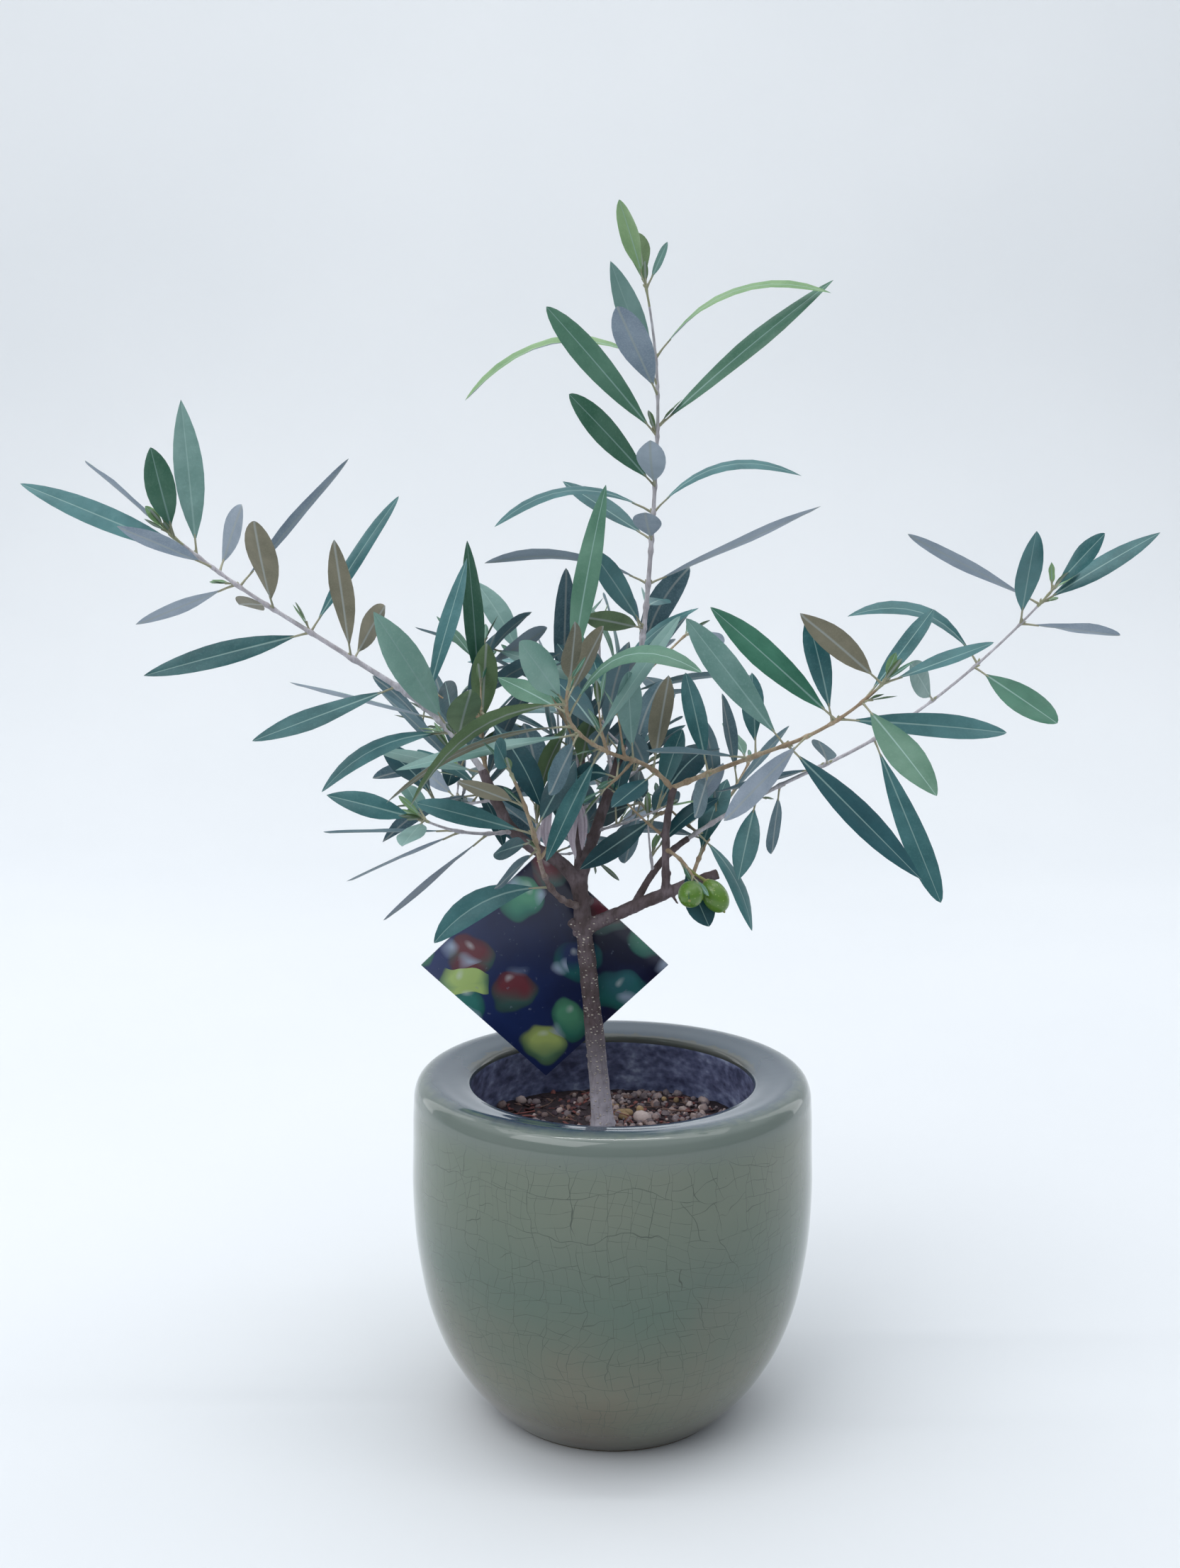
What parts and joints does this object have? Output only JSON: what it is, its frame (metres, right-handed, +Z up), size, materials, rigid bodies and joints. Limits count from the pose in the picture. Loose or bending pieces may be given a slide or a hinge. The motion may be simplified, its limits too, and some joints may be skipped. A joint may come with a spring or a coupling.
{
  "type": "potted olive tree",
  "caption": "Young olive tree with open leafy sprays and two green olives, planted in compost in a round glazed pot, with a label card behind the trunk.",
  "frame": {"origin": "the middle of the pot's flat underside", "axes": "+Z up along the pot's axis, -Y toward the front that the picture shows, +X to the viewer's right"},
  "size_m": [0.4633, 0.2344, 0.5028],
  "materials": {
    "glaze": "glossy sage green crackle glaze",
    "compost": "loose bark compost with pebbles",
    "bark": "grey brown bark with pale pores",
    "foliage": "leathery leaves, pale underneath",
    "card": "printed satin card"
  },
  "bodies": {
    "root": {"pot": "glaze", "soil": "compost", "trunk": "bark", "leader_bough": "bark", "left_bough": "bark", "right_bough": "bark", "right_riser": "bark", "right_lower_bough": "bark", "back_bough": "bark", "left_spray": "foliage", "leader_spray": "foliage", "front_spray": "foliage", "left_back_spray": "foliage", "right_upper_spray": "foliage", "right_lower_spray": "foliage", "front_left_spray": "foliage", "low_left_spray": "foliage", "fruiting_twig": "foliage", "riser_spray": "foliage", "back_left_spray": "foliage", "back_right_spray": "foliage", "back_low_spray": "foliage", "back_high_spray": "foliage", "right_rear_spray": "foliage", "left_rear_spray": "foliage", "label_card": "card"}
  },
  "joints": []
}
